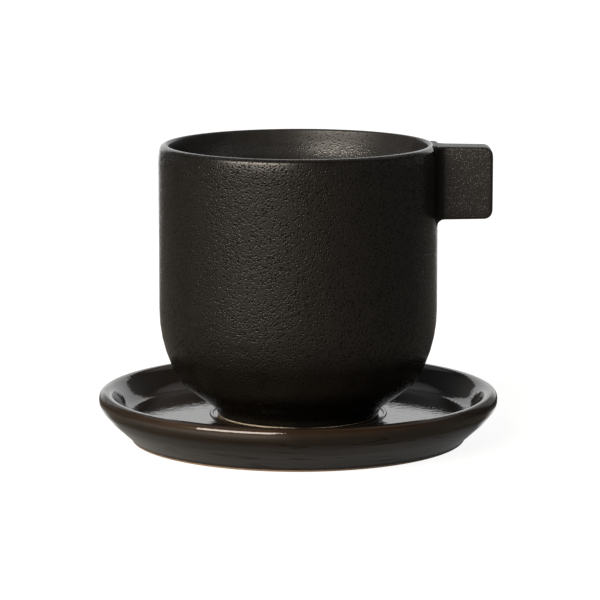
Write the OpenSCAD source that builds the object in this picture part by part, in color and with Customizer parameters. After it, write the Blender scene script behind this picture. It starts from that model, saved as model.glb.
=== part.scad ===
// Espresso cup with a flat square tab for a handle, standing in the round seat of its saucer.
// The origin is the centre of the saucer's foot on the table. +Z is up and the tab points to +X.
// All sizes are in millimetres.

/* [Cup] */
// Outside diameter of the straight wall
cup_d = 65; // [58:0.5:74]
// Height from the foot to the top of the lip
cup_h = 63.8; // [54:0.2:80]
// Thickness of the wall
wall_t = 3.4; // [3.2:0.1:4.4]
// Depth below the lip of the corner from which the outside leans in
lean_h = 3.1; // [2:0.1:5]
// How far the outside leans in from there up to the lip
lean_in = 0.45; // [0.2:0.05:0.5]
// Radius of the bend at that corner
lean_r = 12; // [4:1:14]
// Rounding of the lip's outer edge
lip_out_r = 1.3; // [0.8:0.1:1.3]
// Rounding of the lip's inner edge
lip_in_r = 0.7; // [0.4:0.1:0.8]
// Depth below the lip of the corner from which the inside opens out
mouth_h = 6.3; // [5:0.1:9]
// How far the inside opens out from there up to the lip
mouth_out = 1.1; // [0.4:0.1:1.1]
// Radius of the bend at that corner
mouth_r = 56; // [20:1:60]
// Height above the foot of the corner where the wall starts to turn in
bend_h = 18.5; // [17:0.1:26]
// Radius of the long bend at that corner
bend_r = 32; // [20:1:45]
// Height above the foot of the corner between belly and underside
belly_h = 8.3; // [7.4:0.1:11]
// How far that corner lies inside the wall
belly_in = 4.4; // [3:0.1:6]
// Radius of the belly
belly_r = 8.4; // [6:0.1:11]
// Thickness of the floor over the hollow of the foot
floor_t = 3.2; // [2.8:0.1:6]
// Rounding between the floor and the side inside the cup
floor_r = 12; // [6:0.5:18]

/* [Cup foot] */
// Diameter of the foot where it stands
foot_d = 37.6; // [32:0.2:42]
// Height of the foot up to the underside of the cup
foot_h = 2; // [1.8:0.1:3.2]
// How much the foot widens towards its top, on each side
foot_flare = 0.7; // [0.2:0.1:1.4]
// Fillet between the foot and the underside
foot_fillet = 1.2; // [0.4:0.1:2]
// Rounding of the foot's standing edge
foot_edge = 0.4; // [0.2:0.1:0.8]
// Width of the ring that the cup stands on
foot_ring_w = 3; // [2:0.1:5]
// Depth of the hollow inside the foot ring
foot_hollow = 1; // [0.6:0.1:1.6]

/* [Tab handle] */
// How far the tab stands out from the wall
tab_l = 12.6; // [8:0.2:18]
// Height of the tab
tab_h = 17.1; // [12:0.1:22]
// Thickness of the tab
tab_t = 8; // [4:0.1:9]
// How far the tab's top lies below the lip
tab_drop = 0.3; // [0.3:0.1:6]
// Radius of the two corners at the free end, seen from the side
tab_corner = 2; // [0.8:0.1:3]
// Rounding of the edges all round the tab
tab_edge = 0.8; // [0.4:0.1:1.5]
// Fillet where the sides of the tab run into the wall
root_side = 2.2; // [0.8:0.1:3]
// Fillet where the lower face of the tab runs into the wall
root_under = 1.4; // [1.2:0.1:3.5]

/* [Saucer] */
// Outside diameter of the rim
saucer_d = 93.5; // [84:0.5:110]
// Height of the rim above the table
saucer_h = 11.2; // [10:0.1:15]
// Height of the well's flat floor above the table
well_h = 5.5; // [4.8:0.1:6.6]
// Height of the corner between the rim's outer face and the upper side
side_h = 8.2; // [7.4:0.1:8.8]
// Radius of that corner
side_r = 4.5; // [3:0.1:5]
// Height of the corner between the upper and the lower side
turn_h = 5; // [4.2:0.1:5.6]
// How far that corner lies inside the rim
turn_in = 2.5; // [1.5:0.05:3.2]
// Radius of that corner
turn_r = 9; // [5:0.5:12]
// How far the side runs in from the rim to the foot
side_run = 7.05; // [5:0.05:10]
// Rounding of the rim's outer edge
rim_out_r = 1.3; // [0.8:0.1:1.8]
// Rounding of the rim's inner edge
rim_in_r = 2; // [1:0.1:3]
// Width of the rim between its outer face and its inner corner
rim_w = 2.8; // [2:0.05:4]
// How far the inner slope runs in from the rim's inner corner to the well
slope_run = 3.5; // [3.3:0.05:9]
// Radius of the cove between the inner slope and the well
cove_r = 4; // [2:0.1:7]

/* [Saucer foot and seat] */
// Height of the foot's narrow outer band
base_h = 1; // [0.6:0.1:1.6]
// How far that band leans in towards the table
base_lean = 0.6; // [0.2:0.05:1.2]
// Rounding of the foot's standing edge
base_edge = 0.3; // [0.2:0.1:0.5]
// Width of the ring that the saucer stands on
base_ring_w = 3.2; // [2:0.1:5]
// Depth of the hollow under the saucer
base_hollow = 1.5; // [1:0.1:1.9]
// Fillet round the hollow under the saucer
base_fillet = 1; // [0.4:0.1:1.2]
// Gap between the cup's foot and the low ring that stands round its seat
seat_gap = 1.2; // [0.5:0.1:1.8]
// Height of that ring above the well
ring_h = 0.4; // [0.4:0.1:1]
// Width of that ring
ring_w = 0.8; // [0.8:0.1:1.6]
// Rounding of the ring's upper edges
ring_edge = 0.25; // [0.15:0.05:0.3]
// Fillet at the bottom of the ring
ring_fillet = 0.1; // [0.1:0.05:0.2]

/* [Hidden] */
$fn = 128;

// Cutting outlines run this far past the surface that they cut
over = 2;
// Solid outlines are closed this far behind the axis, so that the centre of every arc lies inside
behind = 120;
// Share of an edge that its two roundings may take up together
edge_share = 0.96;
// The wedge that cuts a slice out of a disc is this many radii long
slice_reach = 2;
// An arc bites this far past a slanted edge, so that the two cross cleanly in spite of rounded digits
bite = 0.0005;
// How deep the tab's root is carried into the wall before it is cut to the wall's curve
root_sink = 2;
// How far the root's fillets reach under the wall's surface
root_toe = 0.4;

cup_r = cup_d / 2;
foot_r = foot_d / 2;
saucer_r = saucer_d / 2;
seat_z = well_h;
lip_z = seat_z + cup_h;
cup_floor_z = seat_z + foot_hollow + floor_t;
seat_r = foot_r + seat_gap;
base_top_r = saucer_r - side_run;
base_r = base_top_r - base_lean;
rim_corner_r = saucer_r - rim_w;
well_r = rim_corner_r - slope_run;
tab_top = lip_z - tab_drop;
tab_bottom = tab_top - tab_h;
tab_tip = cup_r + tab_l;

// A corner is [x, y, radius], and an outline is a list of corners, anticlockwise
function point(corner) = [corner[0], corner[1]];
function unit(v) = v / norm(v);
function corner_at(outline, i) = outline[(i + len(outline)) % len(outline)];
function towards(outline, i, step) = unit(point(corner_at(outline, i + step)) - point(outline[i]));
function half_angle(outline, i) = acos(towards(outline, i, -1) * towards(outline, i, 1)) / 2;
function inward(outline, i) = unit(towards(outline, i, -1) + towards(outline, i, 1));
function is_convex(outline, i) = cross(towards(outline, i, 1), towards(outline, i, -1)) > 0;

// Length of edge that a corner's full rounding takes up, from the corner to the end of its arc
function full_reach(outline, i) = corner_at(outline, i)[2] / tan(half_angle(outline, i % len(outline)));
function edge_length(outline, i) = norm(point(corner_at(outline, i + 1)) - point(corner_at(outline, i)));

// Two roundings that are too large for the edge between them both shrink to fit it
function edge_fit(outline, i) =
    let (wanted = full_reach(outline, i) + full_reach(outline, i + 1))
    wanted > 0 ? min(1, edge_share * edge_length(outline, i) / wanted) : 1;
function arc_r(outline, i) =
    outline[i][2] * min(edge_fit(outline, i + len(outline) - 1), edge_fit(outline, i));

// Centre of a corner's arc, and the point where the arc leaves the edge on one side
function arc_centre(outline, i) =
    point(outline[i]) + inward(outline, i) * arc_r(outline, i) / sin(half_angle(outline, i));
function arc_end(outline, i, step) =
    point(outline[i]) + towards(outline, i, step) * arc_r(outline, i) / tan(half_angle(outline, i));

// How far an arc bites past its edges, and the length of edge that this takes up beyond the arc's end
function is_slanted(way) = abs(way[0] * way[1]) > 0.000001;
function arc_bite(outline, i) =
    is_slanted(towards(outline, i, -1)) || is_slanted(towards(outline, i, 1)) ? bite : 0;
function bite_reach(outline, i) = 2 * sqrt(2 * arc_r(outline, i) * arc_bite(outline, i));

// Corner of the outline that runs at a constant distance inside another
function inset_corner(outline, i, distance) =
    let (p = point(outline[i]) + inward(outline, i) * distance / sin(half_angle(outline, i)))
    [p[0], p[1], outline[i][2] - distance];

// Slice of a disc that fills a convex corner's arc, or clears a hollow one
module arc_slice(outline, i) {
    centre = arc_centre(outline, i);
    spare = bite_reach(outline, i);
    first = (arc_end(outline, i, -1) + towards(outline, i, -1) * spare - centre) * slice_reach;
    last = (arc_end(outline, i, 1) + towards(outline, i, 1) * spare - centre) * slice_reach;
    translate(centre)
        intersection() {
            circle(r = arc_r(outline, i) + arc_bite(outline, i));
            polygon([[0, 0], first, first + last, last]);
        }
}

// Closed outline whose corners are rounded by true arcs
module rounded_outline(outline) {
    corners = [for (i = [0 : len(outline) - 1]) if (outline[i][2] > 0) i];
    difference() {
        union() {
            polygon([
                for (i = [0 : len(outline) - 1])
                    each outline[i][2] > 0
                        ? [arc_end(outline, i, -1), arc_end(outline, i, 1)]
                        : [point(outline[i])]
            ]);
            for (i = corners)
                if (is_convex(outline, i))
                    arc_slice(outline, i);
        }
        for (i = corners)
            if (!is_convex(outline, i))
                arc_slice(outline, i);
    }
}

// Solid turned about the Z axis from the part of an outline at positive radius
module turned(outline) {
    rotate_extrude()
        intersection() {
            rounded_outline(outline);
            translate([0, -behind])
                square([behind, behind * 2]);
        }
}

// Hollow turned into the underside of a foot, up to a given depth above its standing plane
module foot_hollow_cut(hollow_r, stand_z, depth, fillet) {
    turned([
        [-behind, stand_z - over, 0],
        [hollow_r, stand_z - over, 0],
        [hollow_r, stand_z + depth, fillet],
        [-behind, stand_z + depth, 0]
    ]);
}

// Outside of the cup: foot, underside, belly, long bend, straight wall and the lip's outer edge
cup_outline = [
    [-behind, seat_z, 0],
    [foot_r, seat_z, foot_edge],
    [foot_r + foot_flare, seat_z + foot_h, foot_fillet],
    [cup_r - belly_in, seat_z + belly_h, belly_r],
    [cup_r, seat_z + bend_h, bend_r],
    [cup_r, lip_z - lean_h, lean_r],
    [cup_r - lean_in, lip_z, lip_out_r],
    [-behind, lip_z, 0]
];
belly_corner = 3;
bend_corner = 4;

// Inside of the cup, one wall thickness within the outside, from its opening mouth to a flat floor
inner_belly = inset_corner(cup_outline, belly_corner, wall_t);
inner_bend = inset_corner(cup_outline, bend_corner, wall_t);
underside = towards(cup_outline, belly_corner, -1);
inner_floor = point(inner_belly) + underside * (cup_floor_z - inner_belly[1]) / underside[1];
cavity_outline = [
    [-behind, cup_floor_z, 0],
    [inner_floor[0], cup_floor_z, floor_r],
    inner_belly,
    inner_bend,
    [cup_r - wall_t, lip_z - mouth_h, mouth_r],
    [cup_r - wall_t + mouth_out, lip_z, lip_in_r],
    [cup_r + over, lip_z, 0],
    [cup_r + over, lip_z + over, 0],
    [-behind, lip_z + over, 0]
];

module cup_body() {
    color("#1d1a18")
        difference() {
            turned(cup_outline);
            turned(cavity_outline);
            foot_hollow_cut(foot_r - foot_ring_w, seat_z, foot_hollow, foot_hollow / 2);
        }
}

// Slab with rounded edges: the shape that its side view, its plan and its end view have in common
module tab_slab() {
    root = cup_r - root_sink;
    intersection() {
        rotate([90, 0, 0])
            linear_extrude(height = tab_t, center = true)
                rounded_outline([
                    [root, tab_bottom, 0],
                    [tab_tip, tab_bottom, tab_corner],
                    [tab_tip, tab_top, tab_corner],
                    [root, tab_top, 0]
                ]);
        translate([0, 0, tab_bottom])
            linear_extrude(height = tab_h)
                rounded_outline([
                    [root, -tab_t / 2, 0],
                    [tab_tip, -tab_t / 2, tab_edge],
                    [tab_tip, tab_t / 2, tab_edge],
                    [root, tab_t / 2, 0]
                ]);
        translate([root, 0, 0])
            rotate([90, 0, 90])
                linear_extrude(height = tab_tip - root)
                    rounded_outline([
                        [-tab_t / 2, tab_bottom, tab_edge],
                        [tab_t / 2, tab_bottom, tab_edge],
                        [tab_t / 2, tab_top, tab_edge],
                        [-tab_t / 2, tab_top, tab_edge]
                    ]);
    }
}

// Fillets that spread the slab's sides onto the wall, between its rounded top and bottom edges
module side_fillets() {
    spread = tab_t / 2 + root_side + root_toe;
    wall_x = sqrt(pow(cup_r, 2) - pow(spread, 2)) - root_toe;
    root = cup_r - root_sink;
    end = wall_x + root_side + tab_edge;
    translate([0, 0, tab_bottom + tab_edge])
        linear_extrude(height = tab_h - 2 * tab_edge)
            rounded_outline([
                [root, -spread, 0],
                [wall_x, -spread, 0],
                [wall_x, -tab_t / 2, root_side],
                [end, -tab_t / 2, 0],
                [end, tab_t / 2, 0],
                [wall_x, tab_t / 2, root_side],
                [wall_x, spread, 0],
                [root, spread, 0]
            ]);
}

// Fillet that spreads the slab's lower face onto the wall, between its rounded side edges
module under_fillet() {
    root = cup_r - root_sink;
    wall_x = cup_r - root_toe;
    rotate([90, 0, 0])
        linear_extrude(height = tab_t - 2 * tab_edge, center = true)
            rounded_outline([
                [root, tab_bottom - root_under - root_toe, 0],
                [wall_x, tab_bottom - root_under - root_toe, 0],
                [wall_x, tab_bottom, root_under],
                [wall_x + root_under + tab_edge, tab_bottom, 0],
                [wall_x + root_under + tab_edge, tab_bottom + root_under, 0],
                [root, tab_bottom + root_under, 0]
            ]);
}

module tab_handle() {
    color("#211e1b")
        difference() {
            union() {
                tab_slab();
                side_fillets();
                under_fillet();
            }
            turned(cup_outline);
        }
}

// Outside of the saucer: foot band, lower and upper side and the rim's outer edge
saucer_outline = [
    [-behind, 0, 0],
    [base_r, 0, base_edge],
    [base_top_r, base_h, 0],
    [saucer_r - turn_in, turn_h, turn_r],
    [saucer_r, side_h, side_r],
    [saucer_r, saucer_h, rim_out_r],
    [-behind, saucer_h, 0]
];

// Everything above the saucer's upper surface: seat, ring, well, cove and inner slope up to the rim
dish_outline = [
    [-behind, seat_z, 0],
    [seat_r, seat_z, ring_fillet],
    [seat_r, well_h + ring_h, ring_edge],
    [seat_r + ring_w, well_h + ring_h, ring_edge],
    [seat_r + ring_w, well_h, ring_fillet],
    [well_r, well_h, cove_r],
    [rim_corner_r, saucer_h, rim_in_r],
    [saucer_r + over, saucer_h, 0],
    [saucer_r + over, saucer_h + over, 0],
    [-behind, saucer_h + over, 0]
];

module saucer() {
    color("#1a1310")
        difference() {
            turned(saucer_outline);
            turned(dish_outline);
            foot_hollow_cut(base_r - base_ring_w, 0, base_hollow, base_fillet);
        }
}

saucer();
cup_body();
tab_handle();
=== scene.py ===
"""Espresso cup with a tab handle on its saucer: the looks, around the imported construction."""

import math

import bmesh
import bpy
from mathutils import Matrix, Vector


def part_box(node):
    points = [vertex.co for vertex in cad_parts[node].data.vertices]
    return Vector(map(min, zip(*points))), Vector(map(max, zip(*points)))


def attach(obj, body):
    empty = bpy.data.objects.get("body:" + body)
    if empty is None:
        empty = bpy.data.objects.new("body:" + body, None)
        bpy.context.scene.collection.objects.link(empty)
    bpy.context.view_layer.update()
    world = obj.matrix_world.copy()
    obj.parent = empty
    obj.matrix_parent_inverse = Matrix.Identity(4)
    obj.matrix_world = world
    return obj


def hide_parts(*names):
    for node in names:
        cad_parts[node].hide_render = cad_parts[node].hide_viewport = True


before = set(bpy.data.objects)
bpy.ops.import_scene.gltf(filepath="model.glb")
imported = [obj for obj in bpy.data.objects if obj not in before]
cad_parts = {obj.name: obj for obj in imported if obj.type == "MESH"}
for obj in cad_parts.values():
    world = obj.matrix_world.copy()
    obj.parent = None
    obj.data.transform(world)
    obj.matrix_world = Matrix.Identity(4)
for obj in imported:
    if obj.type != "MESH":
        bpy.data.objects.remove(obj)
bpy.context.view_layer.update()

MM = 0.001
TINY = 1e-6


def mm(*values):
    """Lengths in millimetres, as metres."""
    return tuple(value * MM for value in values)


# Sizes taken from the frame, in millimetres
cup_low, cup_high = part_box("cup_body")
_, saucer_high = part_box("saucer")
_, tab_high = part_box("tab_handle")
CUP_R = cup_high.x / MM
SEAT_Z = cup_low.z / MM
LIP_Z = cup_high.z / MM
SAUCER_R = saucer_high.x / MM
RIM_Z = saucer_high.z / MM
TAB_TIP = tab_high.x / MM
TAB_TOP = tab_high.z / MM

# Cup profile, in millimetres
WALL = 3.4
LEAN_H = 3.1
LEAN_IN = 0.45
LEAN_ROUND = 12.0
LIP_OUT_ROUND = 1.3
LIP_IN_ROUND = 0.7
MOUTH_H = 6.3
MOUTH_OUT = 1.1
MOUTH_ROUND = 56.0
BEND_H = 18.5
BEND_ROUND = 32.0
BELLY_H = 8.3
BELLY_IN = 4.4
BELLY_ROUND = 8.4
FOOT_R = 18.8
FOOT_H = 2.0
FOOT_FLARE = 0.7
FOOT_FILLET = 1.2
FOOT_EDGE = 0.4
FOOT_INNER_EDGE = 0.3
FOOT_RING = 3.0
FOOT_HOLLOW = 1.0
FLOOR_T = 3.2
FLOOR_ROUND = 12.0
CUP_SEGMENTS = 224

# Tab handle, in millimetres
TAB_H = 17.1
TAB_T = 8.0
TAB_CORNER = 2.0
TAB_EDGE = 0.8
TAB_TAPER = 0.2
ROOT_SIDE = 2.2
ROOT_UNDER = 1.4
ROOT_OVER = 0.3
ROOT_SINK = 1.2
ROOT_STEPS = 8
TAB_STEPS = 8
TIP_STEPS = 10

# Saucer profile, in millimetres
SIDE_H = 8.2
SIDE_ROUND = 4.0
SIDE_OUT = 0.145
TURN_H = 5.0
TURN_IN = 2.5
TURN_ROUND = 9.0
SIDE_RUN = 7.05
RIM_OUT_ROUND = 1.45
RIM_LEAN = 0.155
RIM_IN_ROUND = 2.0
RIM_W = 2.8
SLOPE_RUN = 3.5
COVE_ROUND = 4.0
BASE_H = 1.0
BASE_LEAN = 0.6
BASE_EDGE = 0.3
BASE_INNER_EDGE = 0.3
BASE_TOP_ROUND = 0.4
BASE_RING = 3.2
BASE_HOLLOW = 1.5
BASE_FILLET = 1.0
SEAT_GAP = 1.2
RING_H = 0.4
RING_W = 0.8
RING_EDGE = 0.25
RING_FILLET = 0.1
SAUCER_SEGMENTS = 256

# Plain spans and results of ramps, and a shader's plain specular level
FADE = (1.0, 0.0)
WHOLE = (0.0, 1.0)
SPECULAR = 0.5

# Bare clay, up to these heights in millimetres above the two feet
CUP_BARE = 0.5
SAUCER_BARE = 0.5
BARE_EDGE = 0.12
BARE_LEFT = mm(-4, 1)
BARE_LEFT_SHARE = (1.0, 0.7)
PALE_CLAY = (0.56, 0.49, 0.38, 1)
PALE_CLAY_ROUGHNESS = 0.85
TAN_CLAY = (0.42, 0.27, 0.16, 1)
TAN_CLAY_ROUGHNESS = 0.75

# Pits and grain of the matt glaze. Scales are in cells to the metre, and the pits' drift in millimetres.
DRIFT_SCALE = 1200.0
DRIFT = 0.5
PIT_SCALE = 1900.0
PIT_EDGE = (0.1, 0.55)
PIT_LOT = (0.0, 0.6)
PIT_DEPTH = (0.2, 1.0)
GRAIN_SCALE = 900.0
GRAIN_DEPTH = 0.5

# The cup's glaze outside and inside. Relief is in millimetres. Sheen multiplies the roughness at a
# glancing view and lip near the lip. Dull is the specular level in the pits, and mouth multiplies
# the level near the lip. The inside's colour is painted lighter than the outside's, as painted light
# for the light inside the cup.
OUTSIDE_GLAZE = {
    "colour": (0.0066, 0.0056, 0.0045),
    "roughness": 0.36,
    "relief": 0.10,
    "dull": 0.06,
    "sheen": 0.35,
    "lip": 0.8,
    "mouth": 1.0,
    "ior": 1.5,
}
INSIDE_GLAZE_AND_PAINTED_LIGHT = {
    # Painted light: lighter than the outside's colour, standing in for the light inside the cup
    "colour": (0.0180, 0.0168, 0.0166),
    "roughness": 0.26,
    "relief": 0.03,
    "dull": 0.2,
    "sheen": 0.7,
    "lip": 1.6,
    "mouth": 0.4,
    "ior": 1.85,
}
TONE_SCALE = 220.0
TONE_SPAN = (0.3, 0.7)
TONE = (0.85, 1.15)
GLANCE = (0.3, 0.75)
DULL_PITS = (0.0, 0.6)
CREST = mm(LIP_Z - 2.4, LIP_Z - 0.9)
CREST_RELIEF = (1.0, 0.25)
LIP_BAND = mm(LIP_Z - 4.0, LIP_Z - 2.0)
MOUTH_BAND = mm(LIP_Z - 5.0, LIP_Z - 1.5)

# The belly above the cup's foot, which shows less of the table, and whose colour is painted lighter as
# painted light for the reflections it loses
BELLY_SPAN = mm(13, 24)
BELLY_PAINTED_LIGHT = (1.6, 1.0)
BELLY_ROUGHNESS = (0.5, 1.0)
BELLY_IOR = 1.1

# The tab's glaze, with painted shade at its root and its face painted lighter than the cup's as painted
# light
TAB_FINENESS = 1.15
TAB_ROOT_SHADE_COLOUR = (0.0090, 0.0084, 0.0074, 1)
TAB_LIT_FACE_COLOUR = (0.0180, 0.0171, 0.0167, 1)
TAB_IOR = 1.45
TAB_ROOT = mm(CUP_R + 0.6, CUP_R + 2.0)
TAB_ROOT_SHADE_LEVEL = (0.5, 1.0)
TAB_END = mm(TAB_TIP - 2.6, TAB_TIP - 1.2)
TAB_FOOT = mm(TAB_TOP - TAB_H + 1.2, TAB_TOP - TAB_H + 3.2)
SPECKS = (0.0, 0.8)
SPECK_ROUGHNESS = (0.37, 0.62)
SPECK_LEVEL = (0.5, 0.8)
SPECK_HEIGHT = 0.5
TAB_RELIEF = 0.12

# The saucer's glaze
DARK_BROWN = (0.0100, 0.0064, 0.0036, 1)
BROWN = (0.0150, 0.0098, 0.0058, 1)
RED_BROWN = (0.034, 0.0180, 0.0082, 1)
BROWN_SCALE = 160.0
CLOUD_SCALE = 90.0
CLOUD_ROUGHNESS = 0.55
CLOUD = (0.7, 1.0)
SAUCER_LEFT = mm(-10, 3)
SAUCER_FRONT = mm(-22, -42)
# Painted light: the red-brown break is stronger at the front and on the left, where the key light falls
FRONT_BREAK_AND_LIGHT = (0.3, 1.0)
LEFT_BREAK_AND_LIGHT = (0.5, 1.0)
SHOULDER = mm(RIM_Z - 2.2, RIM_Z - 1.0)
UNDER_CREST = mm(RIM_Z - 0.10, RIM_Z - 0.35)
OUTER = mm(SAUCER_R - 1.9, SAUCER_R - 1.2)
SATIN = mm(RIM_Z - 3.4, RIM_Z - 1.4)
SATIN_ROUGHNESS = (0.06, 0.38)
SAUCER_IOR = 1.6
COAT_ROUGHNESS = 0.06
COAT_IOR = 1.55
COAT_WEIGHT = 0.9
COAT_ENDS = mm(34, 43)
COAT_END_WEIGHT = 0.15
COAT_BACK = mm(-13, -1)
HALO = mm(RIM_Z - 1.8, RIM_Z - 1.2)
HALO_LOW = 0.1
RING_SCALE = 300.0
RING_RELIEF = 0.25
STREAK_SPAN = (0.0, 0.025)
STREAK = (0.7, 0.0)
STREAK_RIM = mm(SAUCER_R - 3.0, SAUCER_R - 2.0)
STREAK_UNDER = mm(SEAT_Z - 0.2, SEAT_Z - 0.8)
RIPPLE_SCALE = 260.0
RIPPLE_RELIEF = 0.5
PEEL_SCALE = 1000.0
PEEL_RELIEF = 0.9
GLOSS_BUMP = 0.25
GLOSS_RELIEF = 0.12

# Floor, with what glossy rays see of it behind, beneath and far behind the object
FLOOR_HALF = 3.0
FLOOR_COLOUR = (0.18, 0.173, 0.16, 1)
FLOOR_ROUGHNESS = 0.9
FLOOR_SHADE = mm(50, 160)
FLOOR_WHITE = (0.92, 1.0)
MIRRORED = 0.95
BEHIND_HALF = 46.0
BEHIND = mm(-10, 10)
BEHIND_REACH = mm(55, 68)
BENEATH = mm(43, 50)
BENEATH_LIGHT = (0.15, 0.0)
FAR_SPREAD = 0.42
FAR_EDGE = mm(-50, 20)
FAR_START = mm(100, 160)

# Studio: a white backdrop behind the object, by its half width and aim in degrees and the sine of
# its top's height, in a dark room with a dim light high behind
WHITE = (1, 1, 1, 1)
BACKDROP_TURN = 34.0
BACKDROP_AIM = 4.0
BACKDROP_TOP = 0.46
BACKDROP_POWER = 6.0
BACKDROP_EDGE = (0.75, 1.3)
BACKDROP_LIGHT = 1.05
ROOM_RISE = (0.0, 0.9)
ROOM_LIGHT = (0.18, 0.02)
BACK_TURN = (-0.1, 0.3)
BACK_RISE = (0.5, 0.7)
BACK_LIGHT = 0.35

# Key light, by angles in degrees from the camera's side
KEY_TURN = -37
KEY_RISE = 30
KEY_DISTANCE = 1.05
KEY_SIZE = (0.85, 0.5)
KEY_POWER = 17.5
KEY_COLOUR = (1.0, 0.90, 0.78)
LIT_POINT = (0, 0, 0.04)

# Camera, found from the ellipses of the two rims
CAMERA_PLACE = (0.00042, -0.7333, 0.15477)
CAMERA_TILT = 0.16525
CAMERA_LENS = 190.61
CAMERA_SENSOR = 36.0


def rounded_profile(corners, arc_step=7.0, line_step=1.2):
    """Points along an open outline of (radius, height, rounding) corners, with true arcs at the corners."""
    points = []

    def add(point):
        if points:
            start = points[-1]
            gap = (point - start).length
            if gap < TINY:
                return
            steps = max(1, math.ceil(gap / line_step))
            points.extend(start.lerp(point, k / steps) for k in range(1, steps))
        points.append(point)

    for i, (x, y, rounding) in enumerate(corners):
        corner = Vector((x, y))
        if rounding <= 0:
            add(corner)
            continue
        before, after, half = corner_sides(corners, i)
        centre = corner + (before + after).normalized() * rounding / math.sin(half)
        first = corner + before * rounding / math.tan(half) - centre
        sweep = first.angle_signed(corner + after * rounding / math.tan(half) - centre)
        steps = max(2, math.ceil(math.degrees(abs(sweep)) / arc_step))
        for k in range(steps + 1):
            turn = -sweep * k / steps
            add(centre + Vector((
                first.x * math.cos(turn) - first.y * math.sin(turn),
                first.x * math.sin(turn) + first.y * math.cos(turn),
            )))
    return points


def corner_sides(corners, i):
    """The directions from a corner to its two neighbours, and half the angle between them."""
    corner = Vector(corners[i][:2])
    before = (Vector(corners[i - 1][:2]) - corner).normalized()
    after = (Vector(corners[i + 1][:2]) - corner).normalized()
    return before, after, before.angle(after) / 2


def inset_corner(corners, i, distance):
    """The corner of the outline that runs at a constant distance inside another."""
    before, after, half = corner_sides(corners, i)
    moved = Vector(corners[i][:2]) + (before + after).normalized() * distance / math.sin(half)
    return moved.x, moved.y, corners[i][2] - distance


def mesh_object(name, bm):
    """A smooth-shaded object from a bmesh."""
    bmesh.ops.recalc_face_normals(bm, faces=bm.faces[:])
    mesh = bpy.data.meshes.new(name)
    bm.to_mesh(mesh)
    bm.free()
    mesh.shade_smooth()
    obj = bpy.data.objects.new(name, mesh)
    bpy.context.scene.collection.objects.link(obj)
    return obj


def turned(name, profile, segments):
    """A closed solid turned about Z from a profile in millimetres that starts and ends on the axis."""
    bm = bmesh.new()
    rings = []
    for point in profile:
        if point.x < TINY:
            rings.append([bm.verts.new((0, 0, point.y * MM))])
            continue
        ring = []
        for k in range(segments):
            angle = 2 * math.pi * k / segments
            x = point.x * MM * math.cos(angle)
            y = point.x * MM * math.sin(angle)
            ring.append(bm.verts.new((x, y, point.y * MM)))
        rings.append(ring)
    for low, high in zip(rings, rings[1:]):
        for k in range(segments):
            corners = [
                low[k % len(low)],
                low[(k + 1) % len(low)],
                high[(k + 1) % len(high)],
                high[k % len(high)],
            ]
            bm.faces.new(list(dict.fromkeys(corners)))
    return mesh_object(name, bm)


def cup_profile():
    """Axis under the foot, out round it, up the outside, over the lip, and down the inside to the axis."""
    ring_r = FOOT_R - FOOT_RING
    hollow_z = SEAT_Z + FOOT_HOLLOW
    floor_z = SEAT_Z + FOOT_HOLLOW + FLOOR_T
    foot_top = (FOOT_R + FOOT_FLARE, SEAT_Z + FOOT_H, FOOT_FILLET)
    belly = (CUP_R - BELLY_IN, SEAT_Z + BELLY_H, BELLY_ROUND)
    outside = [
        (0, hollow_z, 0),
        (ring_r, hollow_z, FOOT_HOLLOW / 2),
        (ring_r, SEAT_Z, FOOT_INNER_EDGE),
        (FOOT_R, SEAT_Z, FOOT_EDGE),
        foot_top,
        belly,
        (CUP_R, SEAT_Z + BEND_H, BEND_ROUND),
        (CUP_R, LIP_Z - LEAN_H, LEAN_ROUND),
        (CUP_R - LEAN_IN, LIP_Z, LIP_OUT_ROUND),
    ]
    belly_i = outside.index(belly)
    inner_belly = inset_corner(outside, belly_i, WALL)
    inner_bend = inset_corner(outside, belly_i + 1, WALL)
    slope = Vector(foot_top[:2]) - Vector(belly[:2])
    floor_r = inner_belly[0] + slope.x * (floor_z - inner_belly[1]) / slope.y
    inside = [
        (CUP_R - WALL + MOUTH_OUT, LIP_Z, LIP_IN_ROUND),
        (CUP_R - WALL, LIP_Z - MOUTH_H, MOUTH_ROUND),
        inner_bend,
        inner_belly,
        (floor_r, floor_z, FLOOR_ROUND),
        (0, floor_z, 0),
    ]
    return rounded_profile(outside + inside)


def saucer_profile():
    """Axis under the saucer, out round the foot, up the side, over the rim, and in across the well."""
    base_top = SAUCER_R - SIDE_RUN
    base = base_top - BASE_LEAN
    rim_corner = SAUCER_R - RIM_W
    seat_r = FOOT_R + SEAT_GAP
    return rounded_profile([
        (0, BASE_HOLLOW, 0),
        (base - BASE_RING, BASE_HOLLOW, BASE_FILLET),
        (base - BASE_RING, 0, BASE_INNER_EDGE),
        (base, 0, BASE_EDGE),
        (base_top, BASE_H, BASE_TOP_ROUND),
        (SAUCER_R - TURN_IN, TURN_H, TURN_ROUND),
        (SAUCER_R + SIDE_OUT, SIDE_H, SIDE_ROUND),
        (SAUCER_R - RIM_LEAN, RIM_Z, RIM_OUT_ROUND),
        (rim_corner, RIM_Z, RIM_IN_ROUND),
        (rim_corner - SLOPE_RUN, SEAT_Z, COVE_ROUND),
        (seat_r + RING_W, SEAT_Z, RING_FILLET),
        (seat_r + RING_W, SEAT_Z + RING_H, RING_EDGE),
        (seat_r, SEAT_Z + RING_H, RING_EDGE),
        (seat_r, SEAT_Z, RING_FILLET),
        (0, SEAT_Z, 0),
    ])


def round_depth(distance, radius):
    """How far a rounding has left its straight side, at a distance from the end where it has left most."""
    if distance >= radius:
        return 0.0
    return radius - math.sqrt(max(0.0, radius ** 2 - (radius - max(distance, 0.0)) ** 2))


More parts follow.
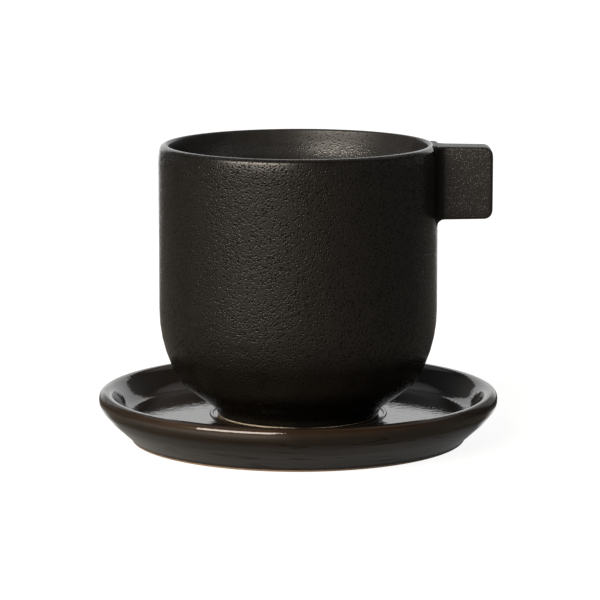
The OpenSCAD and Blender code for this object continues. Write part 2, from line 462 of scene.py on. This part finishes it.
def section_loop(low, high, half_width, rounding, arc_steps=6, side_steps=6):
    """Points of a rounded rectangle in Y and Z."""
    centres = [
        (half_width - rounding, high - rounding, 0),
        (-half_width + rounding, high - rounding, 90),
        (-half_width + rounding, low + rounding, 180),
        (half_width - rounding, low + rounding, 270),
    ]
    corners = []
    for y, z, start in centres:
        for k in range(arc_steps + 1):
            angle = math.radians(start + 90 * k / arc_steps)
            corners.append(Vector((y + rounding * math.cos(angle), z + rounding * math.sin(angle))))
    loop = []
    for i, point in enumerate(corners):
        loop.append(point)
        if i % (arc_steps + 1) == arc_steps:
            following = corners[(i + 1) % len(corners)]
            loop.extend(point.lerp(following, k / side_steps) for k in range(1, side_steps))
    return loop


def tab_stations(length):
    """Distances out from the wall: sunk in it, along the root's fillet, along the slab, round the tip."""
    stations = [-ROOT_SINK, -ROOT_SINK / 2]
    for k in range(ROOT_STEPS + 1):
        stations.append(ROOT_SIDE * (1 - math.cos(math.pi / 2 * k / ROOT_STEPS)))
    for k in range(1, TAB_STEPS + 1):
        stations.append(ROOT_SIDE + (length - TAB_CORNER - ROOT_SIDE) * k / TAB_STEPS)
    for k in range(1, TIP_STEPS + 1):
        stations.append(length - TAB_CORNER * (1 - math.sin(math.pi / 2 * k / TIP_STEPS)))
    return stations


def tab_mesh():
    """A slab with rounded edges whose root spreads in fillets onto the round wall of the cup."""
    length = TAB_TIP - CUP_R
    bm = bmesh.new()
    loops = []
    for s in tab_stations(length):
        from_tip = length - s
        out = max(0.0, s / length)
        half_width = TAB_T / 2 + round_depth(s, ROOT_SIDE) - round_depth(from_tip, TAB_EDGE)
        drawn_in = round_depth(from_tip, TAB_CORNER) + TAB_TAPER * out
        low = TAB_TOP - TAB_H - round_depth(s, ROOT_UNDER) + drawn_in
        high = TAB_TOP + round_depth(s, ROOT_OVER) - drawn_in
        loop = []
        for y, z in section_loop(low, high, half_width, TAB_EDGE):
            wall_x = math.sqrt(CUP_R ** 2 - y ** 2)
            x = wall_x + (CUP_R - wall_x) * out + s
            loop.append(bm.verts.new((x * MM, y * MM, z * MM)))
        loops.append(loop)
    for near, far in zip(loops, loops[1:]):
        for k in range(len(near)):
            following = (k + 1) % len(near)
            bm.faces.new((near[k], near[following], far[following], far[k]))
    bm.faces.new(loops[0])
    bm.faces.new(loops[-1])
    return mesh_object("tab_handle_glazed", bm)


class Nodes:
    """A node tree, with short calls for the nodes that it needs."""

    def __init__(self, tree):
        self.tree = tree

    def node(self, kind, inputs=None, **settings):
        node = self.tree.nodes.new(kind)
        for key, value in settings.items():
            setattr(node, key, value)
        for key, value in (inputs or {}).items():
            self.feed(node.inputs[key], value)
        return node

    def feed(self, socket, value):
        if isinstance(value, bpy.types.NodeSocket):
            self.tree.links.new(value, socket)
        else:
            socket.default_value = value

    def parts(self, vector):
        return self.node("ShaderNodeSeparateXYZ", {0: vector}).outputs

    def join(self, x, y, z=0.0):
        return self.node("ShaderNodeCombineXYZ", {"X": x, "Y": y, "Z": z}).outputs[0]

    def vector(self, operation, a, b=(0, 0, 0)):
        return self.node("ShaderNodeVectorMath", {0: a, 1: b}, operation=operation).outputs

    def math(self, operation, a, b=0.0):
        return self.node("ShaderNodeMath", {0: a, 1: b}, operation=operation).outputs[0]

    def plus(self, a, b):
        return self.math("ADD", a, b)

    def minus(self, a, b):
        return self.math("SUBTRACT", a, b)

    def times(self, product, *factors):
        for factor in factors:
            product = self.math("MULTIPLY", product, factor)
        return product

    def most(self, highest, *values):
        for value in values:
            highest = self.math("MAXIMUM", highest, value)
        return highest

    def ramp(self, value, span, result=WHOLE):
        """A smooth step from the first result to the second as the value crosses the span."""
        inputs = {
            "Value": value,
            "From Min": span[0],
            "From Max": span[1],
            "To Min": result[0],
            "To Max": result[1],
        }
        return self.node("ShaderNodeMapRange", inputs, interpolation_type="SMOOTHSTEP").outputs["Result"]

    def mix(self, factor, a, b):
        """A mix of two colours, whose sockets the node has by number."""
        return self.node("ShaderNodeMix", {0: factor, 6: a, 7: b}, data_type="RGBA").outputs[2]


class Shading(Nodes):
    """A material with one principled shader, and the place on the object that it shades, in metres."""

    def __init__(self, name):
        self.material = bpy.data.materials.new(name)
        self.material.use_nodes = True
        super().__init__(self.material.node_tree)
        self.shader = self.tree.nodes["Principled BSDF"]
        self.place = self.node("ShaderNodeTexCoord").outputs["Object"]
        self.x, self.y, self.z = self.parts(self.place)

    def set(self, **values):
        for key, value in values.items():
            self.feed(self.shader.inputs[key.replace("_", " ")], value)

    def noise(self, scale, detail=2.0, roughness=0.5):
        inputs = {"Vector": self.place, "Scale": scale, "Detail": detail, "Roughness": roughness}
        return self.node("ShaderNodeTexNoise", inputs).outputs["Fac"]

    def bump(self, height, distance, strength=1.0):
        inputs = {"Height": height, "Strength": strength, "Distance": distance}
        normal = self.node("ShaderNodeBump", inputs).outputs["Normal"]
        self.set(Normal=normal, Coat_Normal=normal)

    def radius(self):
        return self.vector("LENGTH", self.join(self.x, self.y))["Value"]


def speckle(s, fineness=1.0):
    """Fine pits of uneven depth, and the grain between them."""
    drift_inputs = {"Vector": s.place, "Scale": DRIFT_SCALE, "Detail": 1.0}
    drift = s.node("ShaderNodeTexNoise", drift_inputs).outputs["Color"]
    drift = s.vector("MULTIPLY", drift, mm(DRIFT, DRIFT, DRIFT))[0]
    place = s.vector("ADD", s.place, drift)[0]
    cell_inputs = {"Vector": place, "Scale": PIT_SCALE * fineness}
    cells = s.node("ShaderNodeTexVoronoi", cell_inputs, feature="F1").outputs
    depth = s.ramp(s.parts(cells["Color"])["X"], PIT_LOT, PIT_DEPTH)
    pits = s.times(s.ramp(cells["Distance"], PIT_EDGE, FADE), depth)
    grain = s.times(s.noise(GRAIN_SCALE * fineness), GRAIN_DEPTH)
    return pits, grain


def tab_face_glaze_and_painted_light():
    """The cup's glaze on the tab: painted shade at the root, a face painted lighter than the cup as painted
    light, smooth near the edges, with bright specks between.
    """
    s = Shading("tab_glaze_and_painted_light")
    pits, grain = speckle(s, TAB_FINENESS)
    face = s.ramp(s.x, TAB_ROOT)
    inner = s.times(face, s.ramp(s.x, TAB_END, FADE), s.ramp(s.z, TAB_FOOT))
    specks = s.times(pits, inner)
    # Painted shade at the root where the tab meets the wall, and painted light on the face, which is lighter
    # than the cup's glaze
    s.set(Base_Color=s.mix(face, TAB_ROOT_SHADE_COLOUR, TAB_LIT_FACE_COLOUR), IOR=TAB_IOR)
    s.set(Roughness=s.ramp(specks, SPECKS, SPECK_ROUGHNESS))
    level = s.ramp(specks, SPECKS, SPECK_LEVEL)
    # Painted shade: the root reflects less
    s.set(Specular_IOR_Level=s.times(level, s.ramp(face, WHOLE, TAB_ROOT_SHADE_LEVEL)))
    s.bump(s.plus(grain, s.times(pits, SPECK_HEIGHT)), TAB_RELIEF * MM)
    return s.material


def bare_foot(s):
    """One where the cup's foot has no glaze, a little higher on the left, and zero above."""
    left = s.ramp(s.x, BARE_LEFT, BARE_LEFT_SHARE)
    edge = s.plus(s.times(left, CUP_BARE * MM), SEAT_Z * MM)
    return s.ramp(s.minus(s.z, edge), mm(0.0, -BARE_EDGE))


def matt_glaze_and_painted_light(name, colour, roughness, relief, dull, sheen, lip, mouth, ior, foot=False):
    """Near-black matt glaze full of fine pits, glossier at a glancing view, with or without a bare foot;
    with the foot, the belly's colour is painted lighter as painted light.
    """
    s = Shading(name)
    pits, grain = speckle(s)
    tone_and_painted_light = s.ramp(s.noise(TONE_SCALE, detail=3.0), TONE_SPAN, TONE)
    facing = s.node("ShaderNodeLayerWeight", {"Blend": 0.5}).outputs["Facing"]
    rough = s.ramp(facing, GLANCE, (roughness, roughness * sheen))
    rough = s.times(rough, s.ramp(s.z, LIP_BAND, (1.0, lip)))
    if foot:
        # Painted light: the belly's colour is made lighter, standing in for the reflections that its low IOR
        # takes away
        tone_and_painted_light = s.times(tone_and_painted_light, s.ramp(s.z, BELLY_SPAN, BELLY_PAINTED_LIGHT))
        rough = s.times(rough, s.ramp(s.z, BELLY_SPAN, BELLY_ROUGHNESS))
        ior = s.ramp(s.z, BELLY_SPAN, (BELLY_IOR, ior))
    glazed = s.vector("MULTIPLY", s.join(tone_and_painted_light, tone_and_painted_light, tone_and_painted_light), colour)[0]
    if foot:
        bare = bare_foot(s)
        glazed = s.mix(bare, glazed, PALE_CLAY)
        rough = s.most(rough, s.times(bare, PALE_CLAY_ROUGHNESS))
    s.set(Base_Color=glazed, Roughness=rough, IOR=ior)
    level = s.ramp(pits, DULL_PITS, (SPECULAR, dull))
    s.set(Specular_IOR_Level=s.times(level, s.ramp(s.z, MOUTH_BAND, (1.0, mouth))))
    s.bump(s.times(s.minus(grain, pits), s.ramp(s.z, CREST, CREST_RELIEF)), relief * MM)
    return s.material


def rim_break_and_painted_light(s, outer, left):
    """How far the saucer's glaze breaks to red-brown, in clouds under the rim; the break is painted stronger
    at the front left, where the key light falls, as painted light.
    """
    front = s.times(s.ramp(s.y, SAUCER_FRONT, FRONT_BREAK_AND_LIGHT), s.ramp(left, WHOLE, LEFT_BREAK_AND_LIGHT))
    cloud = s.noise(CLOUD_SCALE, detail=3.0, roughness=CLOUD_ROUGHNESS)
    clouded = s.times(outer, s.ramp(cloud, TONE_SPAN, CLOUD))
    return s.times(s.ramp(s.z, SHOULDER), front, s.ramp(s.z, UNDER_CREST), clouded)


def coat_weight(s):
    """The clear coat's share round the rim, which fades at the two ends of its front half."""
    ends = s.ramp(s.math("ABSOLUTE", s.x), COAT_ENDS, (COAT_WEIGHT, COAT_END_WEIGHT))
    return s.most(ends, s.ramp(s.y, COAT_BACK, (0.0, COAT_WEIGHT)))


def turning_rings(s, reach):
    """Uneven rings round the saucer, as a potter's wheel leaves them."""
    across = s.times(s.plus(reach, s.z), RING_SCALE)
    place = s.join(s.math("DIVIDE", s.x, reach), s.math("DIVIDE", s.y, reach), across)
    inputs = {"Vector": place, "Scale": 1.0, "Detail": 2.0}
    return s.node("ShaderNodeTexNoise", inputs).outputs["Fac"]


def streaks(s, reach, rings):
    """Thin dull lines along some of the rings, on the saucer's rim and outer side."""
    lines = s.ramp(s.math("ABSOLUTE", s.minus(rings, 0.5)), STREAK_SPAN, STREAK)
    outside = s.most(s.ramp(reach, STREAK_RIM), s.ramp(s.z, STREAK_UNDER))
    return s.times(lines, outside)


def gloss_glaze_and_painted_light():
    """Glossy black-brown glaze that breaks to red-brown along the rim, painted stronger at the front left as
    painted light, over a bare clay foot.
    """
    s = Shading("gloss_brown_glaze_and_painted_light")
    reach = s.radius()
    left = s.ramp(s.x, SAUCER_LEFT, FADE)
    outer = s.ramp(reach, OUTER)
    satin = s.times(outer, s.ramp(s.z, SATIN))
    bare = s.ramp(s.z, mm(SAUCER_BARE, SAUCER_BARE - BARE_EDGE))
    body = s.mix(s.ramp(s.noise(BROWN_SCALE, detail=3.0), TONE_SPAN), DARK_BROWN, BROWN)
    # The red-brown break: real along the rim, painted light in being stronger at the front left
    glazed = s.mix(rim_break_and_painted_light(s, outer, left), body, RED_BROWN)
    rough = s.most(s.times(bare, TAN_CLAY_ROUGHNESS), s.ramp(satin, WHOLE, SATIN_ROUGHNESS))
    s.set(Base_Color=s.mix(bare, glazed, TAN_CLAY), Roughness=rough, IOR=SAUCER_IOR)
    s.set(Coat_Weight=s.times(satin, coat_weight(s)), Coat_Roughness=COAT_ROUGHNESS, Coat_IOR=COAT_IOR)
    rings = turning_rings(s, reach)
    halo = s.times(s.ramp(left, WHOLE, (HALO_LOW, 1.0)), s.ramp(s.z, HALO, (1.0, HALO_LOW)))
    level = s.plus(s.times(satin, s.minus(halo, SPECULAR)), SPECULAR)
    s.set(Specular_IOR_Level=s.times(level, s.minus(1.0, streaks(s, reach, rings))))
    ripple = s.times(s.noise(RIPPLE_SCALE), RIPPLE_RELIEF)
    peel = s.times(s.noise(PEEL_SCALE, detail=1.0), PEEL_RELIEF)
    relief = s.plus(s.plus(ripple, peel), s.times(rings, RING_RELIEF))
    s.bump(relief, GLOSS_RELIEF * MM, GLOSS_BUMP)
    return s.material


def floor_mirrored(s, reach):
    """What glossy rays see of the floor: bright behind the object and far behind it, dim beneath it."""
    side = s.math("ABSOLUTE", s.x)
    aside = s.most(s.minus(side, BEHIND_HALF * MM), 0.0)
    behind = s.times(
        s.ramp(s.minus(s.y, aside), BEHIND, (0.0, MIRRORED)),
        s.ramp(reach, BEHIND_REACH, FADE),
    )
    wedge = s.minus(side, s.times(s.y, FAR_SPREAD))
    far = s.times(s.ramp(wedge, FAR_EDGE, (MIRRORED, 0.0)), s.ramp(s.y, FAR_START))
    return s.most(behind, s.ramp(reach, BENEATH, BENEATH_LIGHT), far)


def floor_material():
    """Table that is white to the camera and keeps the object's shadow."""
    s = Shading("pale_floor")
    reach = s.vector("LENGTH", s.place)["Value"]
    s.set(Base_Color=FLOOR_COLOUR, Roughness=FLOOR_ROUGHNESS)
    path = s.node("ShaderNodeLightPath").outputs
    mirrored = s.times(path["Is Glossy Ray"], floor_mirrored(s, reach))
    seen = s.most(path["Is Camera Ray"], path["Is Transmission Ray"])
    seen = s.times(seen, s.ramp(reach, FLOOR_SHADE, FLOOR_WHITE))
    glow = s.node("ShaderNodeEmission", {"Color": WHITE, "Strength": s.most(seen, mirrored)})
    total = s.node("ShaderNodeAddShader", {0: s.shader.outputs[0], 1: glow.outputs[0]})
    s.feed(s.tree.nodes["Material Output"].inputs["Surface"], total.outputs[0])
    return s.material


def make_floor():
    bm = bmesh.new()
    bmesh.ops.create_grid(bm, x_segments=2, y_segments=2, size=FLOOR_HALF)
    floor = mesh_object("floor", bm)
    floor.data.materials.append(floor_material())


def make_world():
    """White to the camera. Reflections see a white backdrop behind the object and a dark room around it."""
    world = bpy.data.worlds.new("studio")
    bpy.context.scene.world = world
    world.use_nodes = True
    w = Nodes(world.node_tree)
    x, y, z = w.parts(w.node("ShaderNodeTexCoord").outputs["Generated"])
    turn = w.math("ABSOLUTE", w.minus(w.math("ARCTAN2", x, y), math.radians(BACKDROP_AIM)))
    across = w.math("POWER", w.math("DIVIDE", turn, math.radians(BACKDROP_TURN)), BACKDROP_POWER)
    upward = w.math("POWER", w.most(w.math("DIVIDE", z, BACKDROP_TOP), 0.0), BACKDROP_POWER)
    backdrop = w.ramp(w.plus(across, upward), BACKDROP_EDGE, (BACKDROP_LIGHT, 0.0))
    room = w.ramp(z, ROOM_RISE, ROOM_LIGHT)
    back = w.times(w.ramp(y, BACK_TURN), w.ramp(z, BACK_RISE, (0.0, BACK_LIGHT)))
    seen = w.node("ShaderNodeLightPath").outputs["Is Camera Ray"]
    background = w.tree.nodes["Background"]
    w.feed(background.inputs["Color"], WHITE)
    w.feed(background.inputs["Strength"], w.most(seen, room, back, backdrop))


def make_key_light():
    """A warm soft box at the front left that faces the object."""
    data = bpy.data.lights.new("key", "AREA")
    data.shape = "RECTANGLE"
    data.size, data.size_y = KEY_SIZE
    data.energy = KEY_POWER
    data.color = KEY_COLOUR
    turn = math.radians(KEY_TURN)
    rise = math.radians(KEY_RISE)
    way = Vector((math.sin(turn) * math.cos(rise), -math.cos(turn) * math.cos(rise), math.sin(rise)))
    light = bpy.data.objects.new("key", data)
    light.location = Vector(LIT_POINT) + way * KEY_DISTANCE
    light.rotation_euler = way.to_track_quat("Z", "Y").to_euler()
    bpy.context.scene.collection.objects.link(light)


def make_camera():
    """The photograph's view."""
    data = bpy.data.cameras.new("camera")
    data.sensor_width = CAMERA_SENSOR
    data.lens = CAMERA_LENS
    camera = bpy.data.objects.new("camera", data)
    camera.location = CAMERA_PLACE
    camera.rotation_euler = (math.pi / 2 - CAMERA_TILT, 0, 0)
    bpy.context.scene.collection.objects.link(camera)
    bpy.context.scene.camera = camera


def dress(piece, material, body, node):
    """Gives a piece its material and puts it in place of the CAD node that it stands for."""
    piece.data.materials.append(material)
    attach(piece, body)
    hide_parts(node)


def glaze_inside(cup, material, level=0.9):
    """Gives the faces that look into the cup a glaze of their own, whose lighter colour is painted light."""
    cup.data.materials.append(material)
    inside = len(cup.data.materials) - 1
    for face in cup.data.polygons:
        outward = face.center.x * face.normal.x + face.center.y * face.normal.y
        is_floor = face.normal.z > level and face.center.z < (SEAT_Z + BEND_H) * MM
        if face.center.z > (SEAT_Z + FOOT_H) * MM and (outward < 0 or is_floor):
            face.material_index = inside


make_camera()
make_floor()
make_world()
make_key_light()

cup_glaze_and_painted_light = matt_glaze_and_painted_light("matt_black_glaze_and_painted_light", foot=True, **OUTSIDE_GLAZE)
tab_glaze_and_painted_light = tab_face_glaze_and_painted_light()
inside_glaze_and_painted_light = matt_glaze_and_painted_light("inside_glaze_and_painted_light", **INSIDE_GLAZE_AND_PAINTED_LIGHT)
saucer_glaze_and_painted_light = gloss_glaze_and_painted_light()

cup = turned("cup_body_glazed", cup_profile(), CUP_SEGMENTS)
dress(cup, cup_glaze_and_painted_light, "cup", "cup_body")
glaze_inside(cup, inside_glaze_and_painted_light)
dress(tab_mesh(), tab_glaze_and_painted_light, "cup", "tab_handle")
saucer = turned("saucer_glazed", saucer_profile(), SAUCER_SEGMENTS)
dress(saucer, saucer_glaze_and_painted_light, "saucer", "saucer")

bpy.context.scene.view_settings.view_transform = "Standard"
